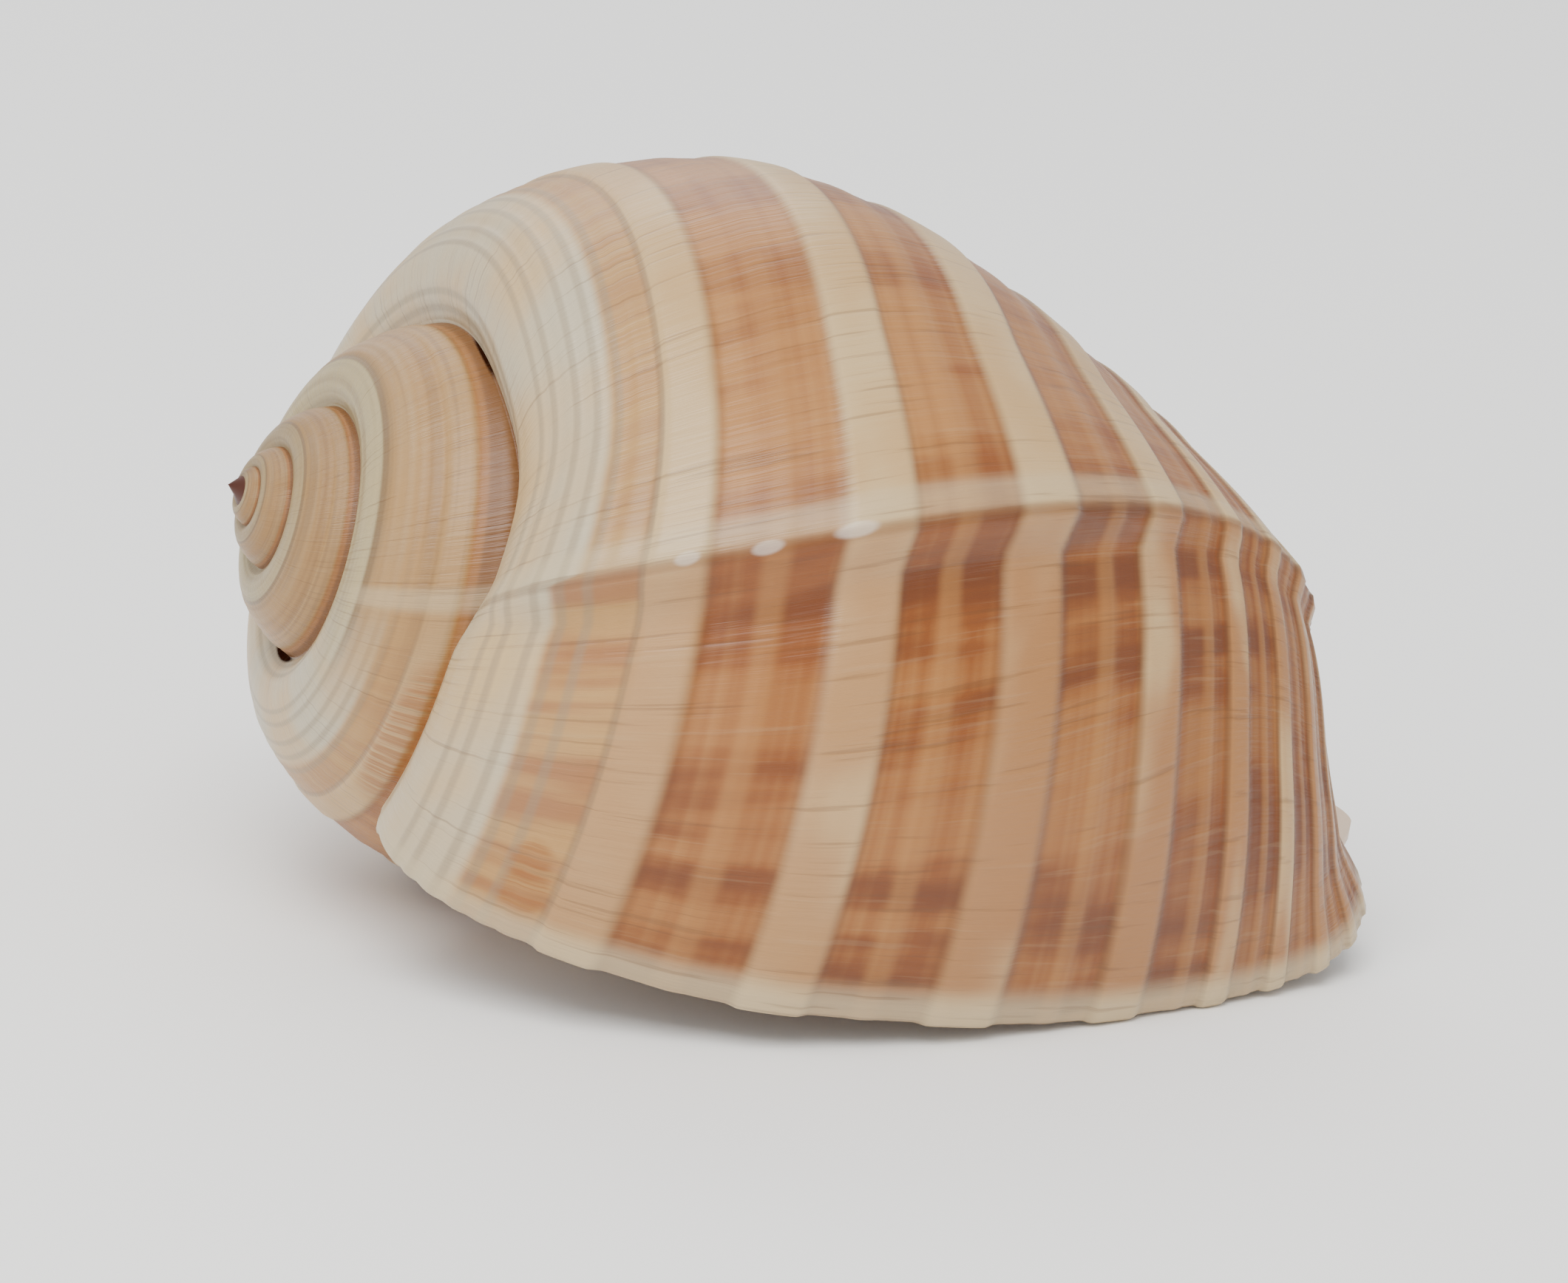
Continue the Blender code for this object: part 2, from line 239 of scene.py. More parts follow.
def wallPoints(row, u, lift):
    # the section, pushed out by its relief, scaled to its turn and turned about the axis
    angle = rowTurn(row)
    turn = angle + lipLag(u) * smoothStep(-pi, 0, angle)
    raised = lift + ridgeHeight(turn, u) + lipFlare(turn, angle, u)
    flat = section(u) + sectionNormal(u) * raised[..., None]
    return turn, inSpace(turn, flat * whorlSize(turn)[..., None])


def columnsAt(row):
    # places along the section in each row; the last covered column is the next whorl's suture
    seam = sutureAt + sutureShift(rowTurn(row) + 2 * pi)
    covered = np.linspace(0, 1, shell["coveredColumns"] + 1)
    gap = seam + shell["seamGap"] * shell["wall"]
    rest = gap[:, None] + (1 - gap[:, None]) * np.linspace(0, 1, shell["openColumns"])
    return np.concatenate([seam[:, None] * covered, rest], axis=1)


def pillarPoints(turn, height, taper=0.0):
    # a slim cone about the axis with two soft folds: radius is slope times height, less the folds'
    # depth times 1 - cos(2 (angle + twist times height))
    depth, twist = shell["pillarFolds"]
    fold = 1 - depth * (1 - np.cos(2 * (turn + twist * height))) * smoothStep(*shell["foldsFrom"], height)
    return inSpace(turn, np.stack([pillarSlope * height * fold * (1 - taper), height + 0 * fold], axis=-1))


def outerWall():
    # the wall's points and their places; every turn is moved to start on the suture of the one before,
    # and the first turn opens out of the chord between its two sutures
    rows = np.arange(lastRow + 1)
    u = columnsAt(rows)
    phase = bandPhase(u)
    age = smoothStep(0, 4 * shell["turnRows"], rows)[:, None]
    turn, points = wallPoints(rows[:, None], u, shell["cordHeight"] * cordRelief(phase) * age)
    start = smoothStep(0, shell["turnRows"], rows)[:, None, None]
    chord = section(0.0) + (section(sutureAt) - section(0.0)) * (u / sutureAt)[..., None]
    points = points * start + inSpace(turn, chord * whorlSize(turn)[..., None]) * (1 - start)
    seam = shell["coveredColumns"]
    for first in range(shell["turnRows"], lastRow + 1, shell["turnRows"]):
        last = min(first + shell["turnRows"], lastRow + 1)
        part, before = slice(first, last), slice(first - shell["turnRows"], last - shell["turnRows"])
        shift = points[before, seam] - points[part, 0]
        points[part] += shift[:, None] * (1 - smoothStep(0, sutureAt, u[part]))[..., None]
    growth = growthPlace(turn, rowTurn(rows)[:, None], u)
    return points, np.stack([growth, phase], axis=-1)


class Surface:
    # collects points, triangles, their place on the wall and which finish they take
    def __init__(self):
        self.points, self.faces, self.places, self.finish = [], [], [], []
        self.count = 0

    def add(self, points):
        # takes in points and gives back their numbers in the same layout
        points = np.asarray(points, float)
        ids = self.count + np.arange(points[..., 0].size).reshape(points.shape[:-1])
        self.points.append(points.reshape(-1, 3))
        self.count += ids.size
        return ids

    def grid(self, ids, places, finish):
        # two triangles for each cell of a grid of points, without those that have no width
        def corners(a):
            # the four corners of every cell, in order round it
            return [a[:-1, :-1], a[1:, :-1], a[1:, 1:], a[:-1, 1:]]
        q = [c.reshape(-1) for c in corners(ids)]
        p = [c.reshape(-1, 2) for c in corners(places)]
        for order in ((0, 1, 2), (0, 2, 3)):
            face = np.stack([q[i] for i in order], axis=1)
            place = np.stack([p[i] for i in order], axis=1)
            wide = (face[:, 0] != face[:, 1]) & (face[:, 1] != face[:, 2]) & (face[:, 0] != face[:, 2])
            self.faces.append(face[wide])
            self.places.append(place[wide])
            self.finish.append(np.full(wide.sum(), finish))

    def fan(self, loop, centre, place, finish):
        # closes a loop with triangles to one point
        ids = np.stack([np.append(loop, loop[0]), np.full(len(loop) + 1, centre)], axis=1)
        self.grid(ids, np.broadcast_to(np.array(place, float), ids.shape + (2,)), finish)


def pillarSpan(row):
    # heights on the pillar, from the turn before to the foot of this turn's inner side
    low = whorlSize(rowTurn(row - shell["turnRows"])) * sectionPoints[-1, 1]
    high = whorlSize(rowTurn(row)) * (sectionPoints[-1, 1] - shell["pillarFoot"] * shell["wall"])
    return low, high


def buildShell():
    # outer wall, then the hollow inside the last turns, the lip that joins them, and the free pillar
    surface = Surface()
    points, places = outerWall()
    rows = np.arange(lastRow + 1)
    perTurn, seam = shell["turnRows"], shell["coveredColumns"]
    mouthRow = lastRow - perTurn
    feet = pillarPoints(rowTurn(rows), whorlSize(rowTurn(rows)) * sectionPoints[-1, 1])
    points[:, -1] = feet
    ids = np.full(points.shape[:2], -1)
    ids[:mouthRow, :seam + 1] = surface.add(points[:mouthRow, :seam + 1])
    ids[mouthRow:] = surface.add(points[mouthRow:])
    for first in range(perTurn, lastRow + 1, perTurn):  # glue each turn to the one before
        last = min(first + perTurn, lastRow + 1)
        ids[first:last, 0] = ids[first - perTurn:last - perTurn, seam]
    surface.grid(ids[:mouthRow + 1, :seam + 1], places[:mouthRow + 1, :seam + 1], 0)
    surface.grid(ids[mouthRow:], places[mouthRow:], 0)
    apexLoop = np.concatenate([ids[:perTurn, 0], ids[0, seam:0:-1]])
    apexPlace = (-shell["turns"], 0.2)
    surface.fan(apexLoop[::-1], surface.add([shell["apexPoint"]])[0], apexPlace, 0)
    print("outer wall", ids.shape)

    # the hollow: each loop runs along the inner side, up the pillar and back under the turn before
    loopRows = np.arange(lastRow, lastRow - shell["hollowRows"] - 1, -shell["hollowStep"])
    u = columnsAt(loopRows)
    first, last = shell["hollowSides"]
    inner = np.flatnonzero((u[0] > first) & (u[0] < last))
    innerAt = np.broadcast_to(u[0, inner], (len(loopRows), len(inner)))
    ribs = shell["innerRibs"] * shell["cordHeight"] * cordRelief(bandPhase(innerAt))
    turn, wall = wallPoints(loopRows[:, None], innerAt, ribs - shell["wall"])
    start = inSpace(rowTurn(loopRows), section(0.0) * whorlSize(rowTurn(loopRows))[:, None])
    shift = points[loopRows, 0] - start
    wall = wall + shift[:, None] * (1 - smoothStep(0, sutureAt, innerAt))[..., None]
    low, high = pillarSpan(loopRows)
    steps = np.linspace(1, 0, shell["pillarSteps"] + 1)[:-1]
    height = low[:, None] + (high - low)[:, None] * steps
    column = pillarPoints(rowTurn(loopRows)[:, None] + 0 * height, height)
    back = points[loopRows - perTurn, :seam:-1]
    loop = np.concatenate([wall, column, back], axis=1)
    loopIds = surface.add(loop)
    own = len(inner) + shell["pillarSteps"]
    loopIds[0, own:] = ids[mouthRow, :seam:-1]
    loopIds = np.concatenate([loopIds[:, -1:], loopIds], axis=1)
    depth = (loopRows - lastRow) / perTurn
    bandless = np.full(loopIds.shape[1] - 1 - len(inner), noBand)
    across = np.concatenate([[onShoulder], bandPhase(u[0, inner]), bandless])
    loopPlaces = np.stack(np.broadcast_arrays(depth[:, None], across[None, :]), axis=-1)
    surface.grid(loopIds, loopPlaces, 1)
    lastTurn = rowTurn(loopRows[-1])
    end = inSpace(lastTurn, np.array(shell["hollowEnd"]) * whorlSize(lastTurn))
    deepPlace = (-1.2, noBand)
    surface.fan(loopIds[-1, 1:], surface.add(end[None])[0], deepPlace, 1)
    print("hollow", loopIds.shape)

    # the lip: the wall's edge rounded over in a half circle from its outer to its inner side
    outerEdge, innerIds = ids[lastRow], np.full(columnCount + 1, loopIds[0, 0])
    innerIds[inner] = loopIds[0, 1:len(inner) + 1]
    innerIds[inner[-1] + 1:] = loopIds[0, len(inner) + 1]
    allPoints = np.concatenate(surface.points)
    a, b = allPoints[outerEdge], allPoints[innerIds]
    ahead = np.gradient(a, axis=0)
    ahead /= np.linalg.norm(ahead, axis=1, keepdims=True) + 1e-9
    across = a - b
    forward = np.cross(ahead, across)
    forward *= np.sign((forward * (points[lastRow] - points[lastRow - 1])).sum(axis=1))[:, None]
    column, lipSteps = np.arange(columnCount + 1), shell["lipSteps"]
    ends = smoothStep(0, shell["lipEnds"], column) * smoothStep(0, shell["lipEnds"], columnCount - column)
    angle = pi * np.arange(1, lipSteps)[:, None, None] / lipSteps
    middle = a * (0.5 + 0.5 * np.cos(angle)) + b * (0.5 - 0.5 * np.cos(angle))
    middleIds = surface.add(middle + shell["lipBulge"] * np.sin(angle) * forward * ends[:, None])
    middleIds[:, 0], middleIds[:, -1] = outerEdge[0], outerEdge[-1]
    lipIds = np.concatenate([outerEdge[None], middleIds, innerIds[None]])
    overEdge = np.linspace(0, 0.01, lipSteps + 1)[:, None]
    lipPlaces = np.stack(np.broadcast_arrays(overEdge, places[lastRow, :, 1]), axis=-1)
    surface.grid(lipIds, lipPlaces, 0)
    print("lip", lipIds.shape)

    # the free pillar: from the foot of the last turn to one height, then a rounded end
    top = whorlSize(0.0) * sectionPoints[-1, 1]
    first = np.concatenate([[ids[lastRow, -1]], loopIds[0, len(inner) + 1:own + 1], [ids[mouthRow, -1]]])
    firstHeights = np.concatenate(surface.points)[first][:, 2]
    share = (firstHeights - firstHeights[-1]) / (firstHeights[0] - firstHeights[-1])
    turnRows = np.arange(mouthRow + 1, lastRow)
    foot = whorlSize(rowTurn(turnRows)) * sectionPoints[-1, 1]
    aroundAxis = np.degrees(rowTurn(turnRows)) + 360
    comesIn, goesOut = shell["pillarEase"]
    ease = smoothStep(0, comesIn, aroundAxis) * smoothStep(0, goesOut, 360 - aroundAxis)
    reach = (top - foot) * (1 - shell["pillarDrop"] * ease)
    height = foot[:, None] + share[None, :-1] * reach[:, None]
    taper = shell["pillarTaper"] * smoothStep(0, 1, share[None, :-1]) * ease[:, None]
    freeIds = surface.add(pillarPoints(rowTurn(turnRows)[:, None] + 0 * height, height, taper))
    freeIds = np.concatenate([freeIds, ids[turnRows, -1:]], axis=1)
    freeIds = np.concatenate([first[None], freeIds, np.full((1, len(first)), first[0])])
    pillarPlace = np.array([-0.5, noBand])
    surface.grid(freeIds, np.broadcast_to(pillarPlace, freeIds.shape + (2,)), 1)
    ring = freeIds[:-1, 0]
    base = np.concatenate(surface.points)[ring]
    rings = [ring]
    for out, rise in shell["pillarRounding"]:
        rings.append(surface.add(base * [out, out, 1] + [0, 0, rise * shell["pillarTip"]]))
    ringIds = np.stack(rings)
    ringIds = np.concatenate([ringIds, ringIds[:, :1]], axis=1)
    surface.grid(ringIds, np.broadcast_to(pillarPlace, ringIds.shape + (2,)), 1)
    tip = surface.add([[0, 0, base[:, 2].mean() + shell["pillarTip"]]])[0]
    surface.fan(rings[-1], tip, pillarPlace, 1)
    print("pillar", freeIds.shape)
    return surface


def turnMatrix(axis, degrees):
    # a turn about one axis as a 3 by 3 matrix
    return np.array(Matrix.Rotation(math.radians(degrees), 3, axis))


def layDown(points):
    # three turns, then moved so that its box is centred on the table's middle and stands on it
    roll, pitch, heading = shell["lie"]
    turned = points @ (turnMatrix("Z", heading) @ turnMatrix("Y", pitch) @ turnMatrix("Z", roll)).T
    low, high = turned.min(axis=0), turned.max(axis=0)
    return (turned - [(low[0] + high[0]) / 2, (low[1] + high[1]) / 2, low[2]]) * shell["unit"]


def makeMesh(surface, materials):
    # the used points, numbered afresh; the faces are turned over if the volume comes out negative, as
    # a sixth of the sum of corner a times (corner b cross corner c)
    faces = np.concatenate(surface.faces)
    places = np.concatenate(surface.places)
    finish = np.concatenate(surface.finish)
    points = layDown(np.concatenate(surface.points))
    used = np.unique(faces)
    renumber = np.full(len(points), -1)
    renumber[used] = np.arange(len(used))
    points, faces = points[used], renumber[faces]
    corners = points[faces]
    volume = np.einsum("ij,ij->i", corners[:, 0], np.cross(corners[:, 1], corners[:, 2])).sum() / 6
    if volume < 0:
        faces, places = faces[:, ::-1], places[:, ::-1]
    mesh = bpy.data.meshes.new("tunShell")
    mesh.vertices.add(len(points))
    mesh.vertices.foreach_set("co", points.astype(np.float32).ravel())
    mesh.loops.add(faces.size)
    mesh.loops.foreach_set("vertex_index", faces.astype(np.int32).ravel())
    mesh.polygons.add(len(faces))
    mesh.polygons.foreach_set("loop_start", np.arange(0, faces.size, 3, dtype=np.int32))
    mesh.polygons.foreach_set("material_index", finish.astype(np.int32))
    layer = mesh.uv_layers.new(name="place")
    layer.data.foreach_set("uv", places.astype(np.float32).ravel())
    mesh.update(calc_edges=True)
    mesh.validate()
    mesh.shade_smooth()
    for material in materials:
        mesh.materials.append(material)
    piece = bpy.data.objects.new("tunShell", mesh)
    bpy.context.scene.collection.objects.link(piece)
    print("triangles", len(faces), "volume in cubic centimetres", abs(volume) * 1e6)
    return piece


class Nodes:
    # short forms for building a node tree
    def __init__(self, tree):
        self.tree = tree

    def put(self, socket, value):
        # a link from another node, or a fixed value
        if isinstance(value, bpy.types.NodeSocket):
            self.tree.links.new(value, socket)
        else:
            socket.default_value = value

    def math(self, operation, a, b=0.0, c=0.0, clamp=False):
        # one calculation on up to three numbers
        node = self.tree.nodes.new("ShaderNodeMath")
        node.operation, node.use_clamp = operation, clamp
        for socket, value in zip(node.inputs, (a, b, c)):
            self.put(socket, value)
        return node.outputs[0]

    def times(self, a, b):
        # a times b
        return self.math("MULTIPLY", a, b)

    def scaled(self, value, by, plus, clamp=False):
        # value times by, plus the last
        return self.math("MULTIPLY_ADD", value, by, plus, clamp)

    def ramp(self, value, low, high, atLow, atHigh):
        # smooth change from atLow where value is low to atHigh where it is high
        node = self.tree.nodes.new("ShaderNodeMapRange")
        node.interpolation_type = "SMOOTHSTEP"
        names = ("Value", "From Min", "From Max", "To Min", "To Max")
        for name, given in zip(names, (value, low, high, atLow, atHigh)):
            self.put(node.inputs[name], given)
        return node.outputs["Result"]

    def step(self, value, low, high):
        # smooth rise from 0 at low to 1 at high, or a fall where low is the larger
        if low < high:
            return self.ramp(value, low, high, 0.0, 1.0)
        return self.ramp(value, high, low, 1.0, 0.0)

    def line(self, value, middle, half):
        # 1 along a thin line, 0 beyond half on either side
        return self.step(self.math("ABSOLUTE", self.math("SUBTRACT", value, middle)), half, 0.25 * half)

    def between(self, value, low, high, soft):
        # 1 from low to high, with soft edges: the rise times the fall
        rise = self.step(self.math("SUBTRACT", value, low), -soft, soft)
        return self.times(rise, self.step(value, high + soft, high - soft))

    def spot(self, along, across, middle, half):
        # 1 inside an ellipse, fading to 0 at its edge: root of the squared distances in half widths
        a = self.math("DIVIDE", self.math("SUBTRACT", along, middle[0]), half[0])
        b = self.math("DIVIDE", self.math("SUBTRACT", across, middle[1]), half[1])
        far = self.math("SQRT", self.math("ADD", self.times(a, a), self.times(b, b)))
        return self.step(far, 1.0, 0.55)

    def mix(self, share, a, b):
        # colour a where share is 0, b where it is 1
        node = self.tree.nodes.new("ShaderNodeMix")
        node.data_type = "RGBA"
        self.put(node.inputs[0], share)
        self.put(node.inputs[6], a if isinstance(a, bpy.types.NodeSocket) else (*a, 1))
        self.put(node.inputs[7], b if isinstance(b, bpy.types.NodeSocket) else (*b, 1))
        return node.outputs[2]

    def place(self, group, *values):
        # a node group with its own values, given in the order of its inputs
        node = self.tree.nodes.new("ShaderNodeGroup")
        node.node_tree = group
        for socket, value in zip(node.inputs, values):
            self.put(socket, value)
        return node.outputs

    def relief(self, height, strength, distance):
        # a bump node, as the surface's normal
        node = self.tree.nodes.new("ShaderNodeBump")
        node.inputs["Strength"].default_value = strength
        node.inputs["Distance"].default_value = distance
        self.put(node.inputs["Height"], height)
        return node.outputs["Normal"]


def startGroup(name, inputs, outputs):
    # a node group with its number sockets, the nodes' short forms and its two ends
    group = bpy.data.node_groups.new(name, "ShaderNodeTree")
    for label in inputs:
        group.interface.new_socket(label, in_out="INPUT", socket_type="NodeSocketFloat")
    for label in outputs:
        group.interface.new_socket(label, in_out="OUTPUT", socket_type="NodeSocketFloat")
    given, result = group.nodes.new("NodeGroupInput"), group.nodes.new("NodeGroupOutput")
    return group, Nodes(group), given.outputs, result.inputs


def streakGroup():
    # noise at (growth place times its scale, band place times its scale), drawn out along the wall
    inputs = ["Growth", "Band", "Growth Scale", "Band Scale", "Detail", "Roughness"]
    group, n, given, result = startGroup("growthStreaks", inputs, ["Streaks"])
    join = group.nodes.new("ShaderNodeCombineXYZ")
    n.put(join.inputs[0], n.times(given["Growth"], given["Growth Scale"]))
    n.put(join.inputs[1], n.times(given["Band"], given["Band Scale"]))
    noise = group.nodes.new("ShaderNodeTexNoise")
    noise.noise_dimensions = "2D"
    noise.inputs["Scale"].default_value = 1.0
    n.put(noise.inputs["Vector"], join.outputs[0])
    n.put(noise.inputs["Detail"], given["Detail"])
    n.put(noise.inputs["Roughness"], given["Roughness"])
    n.put(result["Streaks"], noise.outputs["Fac"])
    return group


def bandGroup():
    # how far the band place is from the nearest whole number, and a mask: 1 up to full, 0 from gone
    group, n, given, result = startGroup("darkBands", ["Band", "Full", "Gone"], ["Mask", "Away"])
    away = n.math("PINGPONG", given["Band"], 0.5)
    n.put(result["Mask"], n.ramp(away, given["Full"], given["Gone"], 1.0, 0.0))
    n.put(result["Away"], away)
    return group


def linear(hexColour):
    # colour from its usual six-digit form, as light values: ((part + 0.055) / 1.055) to the power 2.4,
    # and a straight line where it is dark
    parts = [int(hexColour[i:i + 2], 16) / 255 for i in (0, 2, 4)]
    return tuple(p / 12.92 if p <= 0.04045 else ((p + 0.055) / 1.055) ** 2.4 for p in parts)


wallFinish = {
    "cord": "C0A274", "cordWarm": "B89462", "cordLow": "9A683A",
    "band": "80440F", "bandDeep": "582806", "bandPale": "A4703A",
    "shoulder": "B8AC92", "shoulderGrey": "84745C", "tan": "AA7C3C", "stripe": "8E5218", "line": "5A381A",
    "spire": "9E7846", "spireCream": "A89870", "spireOld": "7C5A2E", "spireDark": "5E3E1E",
    # glint is the colour of the painted highlights, dark is the colour of the painted shade in the gap and
    # the chip
    "apex": "4A2010", "margin": "C0AE8A", "dark": "2A1208", "glint": "EFE6DA",
    # streaks: scale along the growth, scale across the bands, detail, roughness
    "blocks": (42, 0.22, 1.0, 0.5),  # shared by all bands
    "lines": (95, 0.9, 2.0, 0.5),
    "fibres": (420, 0.8, 3.0, 0.6),
    "clouds": (14, 1.3, 2.0, 0.5),
    "threads": (2.2, 9.0, 2.0, 0.5),  # these run along the bands
    # places along the growth, in turns back from the mouth
    "lipMargin": (-0.013, -0.003),
    "newerWall": 0.05,  # the bands are stronger this far past the older lip
    "spireFrom": (-0.95, -1.1),
    "olderFrom": (-1.7, -2.3),
    "apexFrom": (-4.25, -4.6),
    "seamFrom": (-0.93, -0.97),
    "restMark": (-1.085, 0.012),  # (place, half width) of a pause in growth
    # places across the bands
    "bandEdge": (0.285, 0.345),
    "bandsFrom": (0.62, 0.68),
    "shoulderTo": (0.42, 0.38),
    "tanFrom": (0.18, 0.40),
    "shoulderThreads": (-0.66, -0.57, -0.48, -0.18, -0.08, 0.055, 0.16, 0.26),
    # marks, each ((growth place, band place), (half length, half width))
    "glints": [((-0.1340, 0.59), (0.0028, 0.07)), ((-0.1333, 0.95), (0.0026, 0.09)),
               ((-0.1338, 1.36), (0.0028, 0.13))],  # painted highlights, near-white spots on the old lip's crest
    "gapShades": [((-1.268, 0.95), (0.034, 0.07)), ((-0.872, -0.67), (0.055, 0.05))],  # painted shade, near black, in the gap at the suture and in a chip
    "patches": [((-0.985, 0.62), (0.070, 0.30)), ((-0.018, 0.30), (0.014, 0.11)),
                ((-0.030, 0.28), (0.010, 0.09))],
    "roughness": 0.36, "bumpStrength": 0.30, "bumpDistance": 0.0004,
}


def placeSockets(nodes):
    # growth place and band place, from the wall's own map
    layer = nodes.tree.nodes.new("ShaderNodeUVMap")
    layer.uv_map = "place"
    split = nodes.tree.nodes.new("ShaderNodeSeparateXYZ")
    nodes.put(split.inputs[0], layer.outputs[0])
    return split.outputs[0], split.outputs[1]


def wallMaterial(settings):
    # each layer of colour is laid over the one before by its mask
    material = bpy.data.materials.new("shellWall")
    material.use_nodes = True
    n = Nodes(material.node_tree)
    principled = material.node_tree.nodes["Principled BSDF"]
    growth, phase = placeSockets(n)
    c = {key: linear(value) for key, value in settings.items() if isinstance(value, str)}

    def streaksOf(name):
        # the streaks with this name's own scales
        return n.place(streaks, growth, phase, *settings[name])["Streaks"]

    coarse, medium, fine, patch, threads = [
        streaksOf(name) for name in ("blocks", "lines", "fibres", "clouds", "threads")]
    afterRidge = n.step(growth, ridgePlace - 0.002, ridgePlace + 0.002)
    justAfter = n.times(afterRidge, n.step(growth, ridgePlace + settings["newerWall"], ridgePlace))
    lipFade = n.step(growth, *settings["lipMargin"])

    # the dark bands
    mask, away = n.place(bands, phase, *settings["bandEdge"])
    band = n.times(mask, n.step(phase, *settings["bandsFrom"]))
    thread = n.step(away, 0.10, 0.03)
    blocks = n.math("ADD", n.times(coarse, 0.75), n.times(medium, 0.45))
    strength = n.step(blocks, 0.46, 0.74)
    forward = n.scaled(n.step(phase, 1.4, 2.6), 0.66, -0.20)
    base = n.math("MAXIMUM", n.times(afterRidge, 0.50), forward)
    strength = n.scaled(strength, 0.50, base)
    strength = n.scaled(justAfter, 0.20, strength, clamp=True)
    strength = n.scaled(n.math("SUBTRACT", threads, 0.5), 1.1, strength, clamp=True)
    strength = n.times(strength, n.math("SUBTRACT", 1.0, n.times(lipFade, 0.85)))
    bandColour = n.mix(strength, c["bandPale"], c["band"])
    deep = n.times(n.step(blocks, 0.55, 0.80), n.scaled(afterRidge, 0.6, 0.15))
    narrow = n.times(n.step(phase, 2.4, 5.0), n.scaled(afterRidge, 0.2, 0.15))
    deepest = n.math("MAXIMUM", deep, n.math("ADD", narrow, n.times(deep, 0.6)))
    bandColour = n.mix(deepest, bandColour, c["bandDeep"])
    bandColour = n.mix(n.times(thread, 0.45), bandColour, c["bandPale"])

    # the cords between them
    cordColour = n.mix(n.step(patch, 0.35, 0.7), c["cord"], c["cordWarm"])
    lowCord = n.times(afterRidge, n.step(patch, 0.15, 0.55))
    lowCord = n.times(lowCord, n.math("SUBTRACT", 1.0, lipFade))
    lowCord = n.times(lowCord, n.scaled(n.step(phase, 0.8, 3.0), 0.45, 0.52))
    cordColour = n.mix(lowCord, cordColour, c["cordLow"])
    colour = n.mix(band, cordColour, bandColour)
    edge = n.times(n.line(away, 0.310, 0.055), n.step(phase, 0.60, 0.66))
    edge = n.times(edge, n.scaled(n.step(phase, 1.5, 4.0), 0.2, 0.2))
    colour = n.mix(edge, colour, c["line"])

    # the shoulder
    shoulderZone = n.step(phase, *settings["shoulderTo"])
    tanLow, tanHigh = settings["tanFrom"]
    tanZone = n.between(phase, n.scaled(afterRidge, -0.10, tanLow), tanHigh, 0.03)
    shoulderColour = n.mix(n.step(patch, 0.3, 0.75), c["shoulder"], c["cord"])
    stripes = n.times(n.step(medium, 0.35, 0.65), n.scaled(afterRidge, 0.6, 0.4))
    tanColour = n.mix(stripes, c["tan"], c["stripe"])
    shoulderColour = n.mix(n.times(tanZone, 0.85), shoulderColour, tanColour)
    for middle in settings["shoulderThreads"]:
        dark = n.times(n.line(phase, middle - 0.045, 0.03), 0.45)
        shoulderColour = n.mix(dark, shoulderColour, c["shoulderGrey"])
    colour = n.mix(shoulderZone, colour, shoulderColour)
    colour = n.mix(n.times(n.line(phase, 0.395, 0.025), 0.4), colour, c["line"])

    # the spire
    spire = n.step(growth, *settings["spireFrom"])
    spireColour = n.mix(n.step(phase, -0.14, -0.04), c["spireCream"], c["spire"])
    older = n.step(growth, *settings["olderFrom"])
    spireColour = n.mix(n.times(older, 0.5), spireColour, c["spireOld"])
    spireColour = n.mix(n.times(n.step(threads, 0.42, 0.70), 0.35), spireColour, c["spireDark"])
    groove = n.times(n.line(phase, -0.10, 0.05), 0.7)
    spireColour = n.mix(groove, spireColour, c["spireDark"])
    colour = n.mix(n.times(spire, 0.88), colour, spireColour)
    redStripe = n.times(n.step(phase, 0.66, 0.72), spire)
    colour = n.mix(n.times(redStripe, 0.6), colour, c["stripe"])
    seamLine = n.times(n.step(phase, 0.76, 0.82), n.step(growth, *settings["seamFrom"]))
    colour = n.mix(n.times(seamLine, 0.6), colour, c["line"])
    colour = n.mix(n.step(growth, *settings["apexFrom"]), colour, c["apex"])

    # the older lip, the mouth's edge and single marks, with painted highlights on the old lip and painted
    # shade in a gap and a chip
    pale = n.times(n.line(growth, ridgePlace - 0.005, 0.008), 0.40)
    colour = n.mix(pale, colour, c["margin"])
    seam = n.times(n.line(growth, ridgePlace + 0.0015, 0.003), 0.35)
    colour = n.mix(seam, colour, c["line"])
    for middle, half in settings["patches"]:
        patchShare = n.times(n.spot(growth, phase, middle, half), n.step(fine, 0.3, 0.6))
        colour = n.mix(n.times(patchShare, 0.7), colour, c["stripe"])
    growthMark = n.times(n.line(growth, *settings["restMark"]), n.step(phase, -0.4, 0.0))
    colour = n.mix(n.times(growthMark, 0.4), colour, c["margin"])
    colour = n.mix(n.times(lipFade, 0.65), colour, c["margin"])
    # painted highlights: near-white spots laid on the old lip's crest
    for middle, half in settings["glints"]:
        colour = n.mix(n.times(n.spot(growth, phase, middle, half), 0.30), colour, c["glint"])
    gloss = 1.0
    # painted shade: the gap and the chip are coloured near black and lose their gloss
    for middle, half in settings["gapShades"]:
        hollow = n.spot(growth, phase, middle, half)
        colour = n.mix(hollow, colour, c["dark"])
        gloss = n.math("SUBTRACT", gloss, hollow, clamp=True)
    n.put(principled.inputs["Specular IOR Level"], n.times(gloss, 0.5))
    streak = n.times(n.step(fine, 0.60, 0.72), 0.07)
    colour = n.mix(streak, colour, c["margin"])
    darkStreak = n.times(n.step(fine, 0.42, 0.28), 0.34)
    colour = n.mix(darkStreak, colour, c["line"])
    n.put(principled.inputs["Base Color"], colour)

